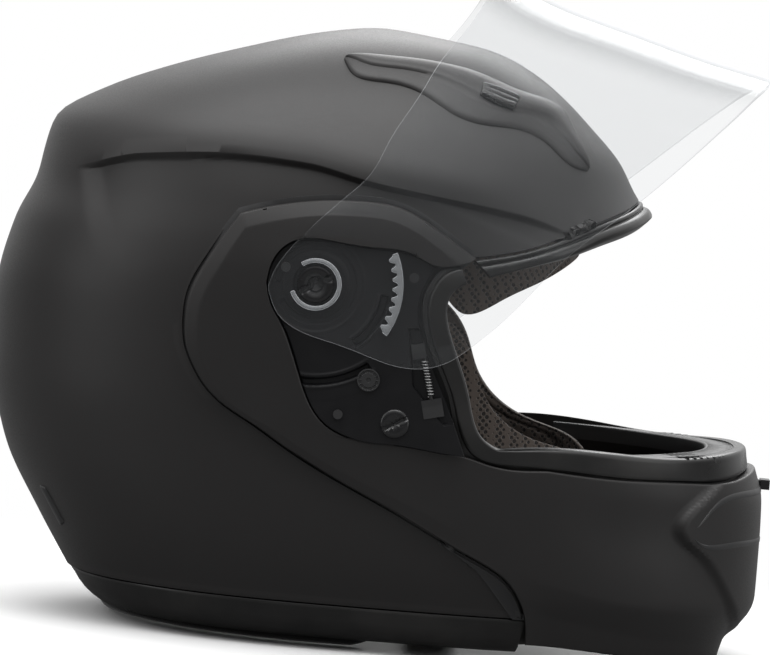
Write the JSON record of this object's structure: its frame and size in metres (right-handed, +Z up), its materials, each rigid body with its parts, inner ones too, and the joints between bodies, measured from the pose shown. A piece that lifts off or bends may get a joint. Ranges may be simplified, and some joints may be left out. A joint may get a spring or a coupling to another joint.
{
  "type": "modular motorcycle helmet",
  "caption": "Matt black flip-up full face motorcycle helmet with raised clear visor, hinged chin bar, drop-down sun shade, foam liner and comfort pads.",
  "frame": {"origin": "middle of the helmet's length and width, at the level the neck roll stands on", "axes": "+X forwards out of the eyeport, +Y to the wearer's left, +Z up"},
  "size_m": [0.3577, 0.2432, 0.3062],
  "materials": {
    "shell_paint": "matt black paint, fine texture",
    "liner_foam": "black expanded foam",
    "pad_fabric": "black open mesh fabric",
    "trim_rubber": "satin black edge trim",
    "gasket_rubber": "glossy black seal",
    "black_plastic": "moulded, satin",
    "clear_visor": "clear polycarbonate, polished",
    "smoked_shade": "smoked polycarbonate",
    "steel": "plated",
    "webbing": "woven nylon"
  },
  "bodies": {
    "helmet": {"outer_shell": "shell_paint", "impact_liner": "liner_foam", "crown_pad": "pad_fabric", "forehead_pad": "pad_fabric", "cheek_pad_right": "pad_fabric", "cheek_pad_left": "pad_fabric", "neck_roll": "pad_fabric", "neck_trim": "trim_rubber", "brow_gasket": "gasket_rubber", "top_vent_right": "shell_paint", "top_vent_left": "shell_paint", "rear_vent_slits": "black_plastic", "latch_strikers": "steel", "pivot_bolts": "steel", "pivot_nuts": "steel", "chin_strap_right": "webbing", "chin_strap_left": "webbing", "strap_rivets": "steel"},
    "top_slider_right": {"top_vent_slider_right": "black_plastic"},
    "top_slider_left": {"top_vent_slider_left": "black_plastic"},
    "shade": {"sun_shade": "smoked_shade"},
    "chin_bar": {"chin_bar": "shell_paint", "chin_liner": "liner_foam", "eyeport_gasket": "gasket_rubber", "breath_deflector": "black_plastic", "chin_vent_frame": "black_plastic", "visor_plate_right": "black_plastic", "visor_plate_left": "black_plastic", "visor_hubs": "black_plastic", "slotted_covers": "black_plastic", "moulded_dials": "black_plastic", "plate_screws": "black_plastic"},
    "visor": {"visor": "clear_visor"},
    "lock_right": {"visor_lock_right": "black_plastic", "visor_lock_spring_right": "steel"},
    "lock_left": {"visor_lock_left": "black_plastic", "visor_lock_spring_left": "steel"},
    "chin_slider": {"chin_vent_slider": "black_plastic"},
    "release": {"release_button": "black_plastic"}
  },
  "joints": [
    {"name": "chin_bar_lift", "type": "hinge", "parent": "helmet", "child": "chin_bar", "pos_m": [-0.0325, 0, 0.1617], "axis": [0, -1, 0], "range_deg": [0, 78]},
    {"name": "visor_swing", "type": "hinge", "parent": "chin_bar", "child": "visor", "pos_m": [-0.0325, 0, 0.1617], "axis": [0, -1, 0], "range_deg": [-46.5, 0]},
    {"name": "sun_shade_swing", "type": "hinge", "parent": "helmet", "child": "shade", "pos_m": [0.017, 0, 0.172], "axis": [0, -1, 0], "range_deg": [-42, 0]},
    {"name": "top_vent_right_slide", "type": "slide", "parent": "helmet", "child": "top_slider_right", "axis": [0.8996, -0.12, -0.4198], "range_m": [0, 0.004]},
    {"name": "top_vent_left_slide", "type": "slide", "parent": "helmet", "child": "top_slider_left", "axis": [0.8996, 0.12, -0.4198], "range_m": [0, 0.004]},
    {"name": "visor_lock_right_slide", "type": "slide", "parent": "chin_bar", "child": "lock_right", "axis": [0.2419, 0, -0.9703], "range_m": [0, 0.0015], "stiffness_N_per_m": 400, "springref_m": -0.001},
    {"name": "visor_lock_left_slide", "type": "slide", "parent": "chin_bar", "child": "lock_left", "axis": [0.2419, 0, -0.9703], "range_m": [0, 0.0015], "stiffness_N_per_m": 400, "springref_m": -0.001},
    {"name": "chin_vent_slide", "type": "slide", "parent": "chin_bar", "child": "chin_slider", "axis": [0, 0, -1], "range_m": [0, 0.004]},
    {"name": "release_push", "type": "slide", "parent": "chin_bar", "child": "release", "axis": [0, 0, 1], "range_m": [0, 0.0025], "stiffness_N_per_m": 500, "springref_m": -0.001}
  ]
}
